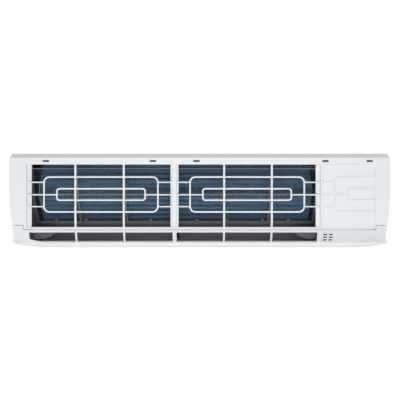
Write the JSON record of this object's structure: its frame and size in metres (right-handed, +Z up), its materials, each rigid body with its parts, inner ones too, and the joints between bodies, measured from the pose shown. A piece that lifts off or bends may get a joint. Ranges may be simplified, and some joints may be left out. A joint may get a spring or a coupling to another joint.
{
  "type": "air conditioner indoor unit",
  "caption": "White wall-mounted indoor unit of a split air conditioner, with a ring-patterned intake grille on top, a hinged front, lift-out filters, a coil, a fan and a swing louver.",
  "frame": {"origin": "centre of the wall plate's screw-hole pattern, on the wall's surface", "axes": "+X to the right as seen from the front, +Y into the wall, +Z up"},
  "size_m": [0.845, 0.209, 0.289],
  "materials": {
    "white_shell": "satin",
    "white_moulding": "matte",
    "grey_foam": "matte",
    "grey_moulding": "matte",
    "dark_moulding": "matte",
    "filter_moulding": "matte",
    "filter_net": "fine weave",
    "blue_fins": "coated",
    "copper": "satin",
    "brass": "satin",
    "zinc_steel": "dull",
    "bright_steel": "satin",
    "black_rubber": "matte",
    "green_board": "satin",
    "smoked_window": "gloss"
  },
  "bodies": {
    "unit": {"wall_plate": "zinc_steel", "rear_case": "grey_moulding", "front_casing": "white_shell", "drain_pan": "grey_foam", "drain_plug": "black_rubber", "drain_pipe": "white_moulding", "front_fins": "blue_fins", "rear_fins": "blue_fins", "low_fins": "blue_fins", "coil_tubes": "copper", "coil_plate_left": "zinc_steel", "coil_plate_right": "zinc_steel", "gas_pipe": "copper", "liquid_pipe": "copper", "gas_nut": "brass", "liquid_nut": "brass", "pipe_clamp": "grey_moulding", "fan_motor": "white_moulding", "motor_rings": "black_rubber", "motor_bracket": "white_moulding", "bracket_screws": "bright_steel", "bearing_rubber": "black_rubber", "fan_bearing": "brass", "electric_box": "white_moulding", "box_cover": "zinc_steel", "cover_screws": "bright_steel", "main_board": "green_board", "board_parts": "dark_moulding", "terminal_block": "dark_moulding", "button_switch": "green_board", "filter_guide": "grey_moulding", "louver_stepper": "zinc_steel", "vane_stepper": "zinc_steel", "casing_screws": "bright_steel"},
    "front": {"front_frame": "white_shell", "front_panel": "white_shell", "display_board": "green_board", "display_window": "smoked_window"},
    "left_filter": {"filter_frame_left": "filter_moulding", "filter_net_left": "filter_net"},
    "right_filter": {"filter_frame_right": "filter_moulding", "filter_net_right": "filter_net"},
    "fan": {"fan_rotor": "dark_moulding", "fan_stub_shaft": "bright_steel", "motor_shaft": "bright_steel", "hub_screw": "bright_steel"},
    "louver": {"main_louver": "white_shell"},
    "vane_a": {"vane_1": "white_moulding"},
    "link": {"link_bar": "white_moulding"},
    "crank": {"vane_crank": "white_moulding"},
    "button": {"aux_button": "white_moulding"},
    "vane_b": {"vane_2": "white_moulding"},
    "vane_c": {"vane_3": "white_moulding"},
    "vane_d": {"vane_4": "white_moulding"},
    "vane_e": {"vane_5": "white_moulding"},
    "vane_f": {"vane_6": "white_moulding"},
    "vane_g": {"vane_7": "white_moulding"},
    "vane_h": {"vane_8": "white_moulding"},
    "vane_i": {"vane_9": "white_moulding"},
    "vane_j": {"vane_10": "white_moulding"}
  },
  "joints": [
    {"name": "front_hinge", "type": "hinge", "parent": "unit", "child": "front", "pos_m": [0, -0.1625, 0.13173], "axis": [-1, 0, 0], "range_deg": [0, 75]},
    {"name": "left_filter_lift", "type": "hinge", "parent": "unit", "child": "left_filter", "pos_m": [0, 0.0352, -0.0895], "axis": [-1, 0, 0], "range_deg": [0, 2.5]},
    {"name": "right_filter_lift", "type": "hinge", "parent": "unit", "child": "right_filter", "pos_m": [0, 0.0352, -0.0895], "axis": [-1, 0, 0], "range_deg": [0, 2.5]},
    {"name": "fan_spin", "type": "hinge", "parent": "unit", "child": "fan", "pos_m": [0, -0.095, -0.052], "axis": [1, 0, 0], "continuous": true},
    {"name": "louver_swing", "type": "hinge", "parent": "unit", "child": "louver", "pos_m": [0, -0.15387, -0.12974], "axis": [1, 0, 0], "range_deg": [0, 85]},
    {"name": "button_press", "type": "slide", "parent": "unit", "child": "button", "axis": [0, 1, 0], "range_m": [0, 0.0012], "stiffness_N_per_m": 1200, "springref_m": -0.0005},
    {"name": "vane_a_turn", "type": "hinge", "parent": "unit", "child": "vane_a", "pos_m": [-0.34, -0.11348, -0.12615], "axis": [0, -0.4813, 0.8766], "range_deg": [-30, 30]},
    {"name": "vane_b_turn", "type": "hinge", "parent": "unit", "child": "vane_b", "pos_m": [-0.27667, -0.11348, -0.12615], "axis": [0, -0.4813, 0.8766], "range_deg": [-30, 30]},
    {"name": "vane_c_turn", "type": "hinge", "parent": "unit", "child": "vane_c", "pos_m": [-0.21333, -0.11348, -0.12615], "axis": [0, -0.4813, 0.8766], "range_deg": [-30, 30]},
    {"name": "vane_d_turn", "type": "hinge", "parent": "unit", "child": "vane_d", "pos_m": [-0.15, -0.11348, -0.12615], "axis": [0, -0.4813, 0.8766], "range_deg": [-30, 30]},
    {"name": "vane_e_turn", "type": "hinge", "parent": "unit", "child": "vane_e", "pos_m": [-0.08667, -0.11348, -0.12615], "axis": [0, -0.4813, 0.8766], "range_deg": [-30, 30]},
    {"name": "vane_f_turn", "type": "hinge", "parent": "unit", "child": "vane_f", "pos_m": [-0.02333, -0.11348, -0.12615], "axis": [0, -0.4813, 0.8766], "range_deg": [-30, 30]},
    {"name": "vane_g_turn", "type": "hinge", "parent": "unit", "child": "vane_g", "pos_m": [0.04, -0.11348, -0.12615], "axis": [0, -0.4813, 0.8766], "range_deg": [-30, 30]},
    {"name": "vane_h_turn", "type": "hinge", "parent": "unit", "child": "vane_h", "pos_m": [0.10333, -0.11348, -0.12615], "axis": [0, -0.4813, 0.8766], "range_deg": [-30, 30]},
    {"name": "vane_i_turn", "type": "hinge", "parent": "unit", "child": "vane_i", "pos_m": [0.16667, -0.11348, -0.12615], "axis": [0, -0.4813, 0.8766], "range_deg": [-30, 30]},
    {"name": "vane_j_turn", "type": "hinge", "parent": "unit", "child": "vane_j", "pos_m": [0.23, -0.11348, -0.12615], "axis": [0, -0.4813, 0.8766], "range_deg": [-30, 30]},
    {"name": "crank_turn", "type": "hinge", "parent": "unit", "child": "crank", "pos_m": [-0.391, -0.11348, -0.12615], "axis": [0, -0.4813, 0.8766], "range_deg": [-30, 30]},
    {"name": "link_turn", "type": "hinge", "parent": "vane_a", "child": "link", "pos_m": [-0.34, -0.10033, -0.11893], "axis": [0, -0.4813, 0.8766], "range_deg": [-30, 30]}
  ],
  "couplings": [
    {"joint": "vane_b_turn", "follows": "vane_a_turn", "ratio": 1},
    {"joint": "vane_c_turn", "follows": "vane_a_turn", "ratio": 1},
    {"joint": "vane_d_turn", "follows": "vane_a_turn", "ratio": 1},
    {"joint": "vane_e_turn", "follows": "vane_a_turn", "ratio": 1},
    {"joint": "vane_f_turn", "follows": "vane_a_turn", "ratio": 1},
    {"joint": "vane_g_turn", "follows": "vane_a_turn", "ratio": 1},
    {"joint": "vane_h_turn", "follows": "vane_a_turn", "ratio": 1},
    {"joint": "vane_i_turn", "follows": "vane_a_turn", "ratio": 1},
    {"joint": "vane_j_turn", "follows": "vane_a_turn", "ratio": 1},
    {"joint": "crank_turn", "follows": "vane_a_turn", "ratio": 1},
    {"joint": "link_turn", "follows": "vane_a_turn", "ratio": -1}
  ]
}
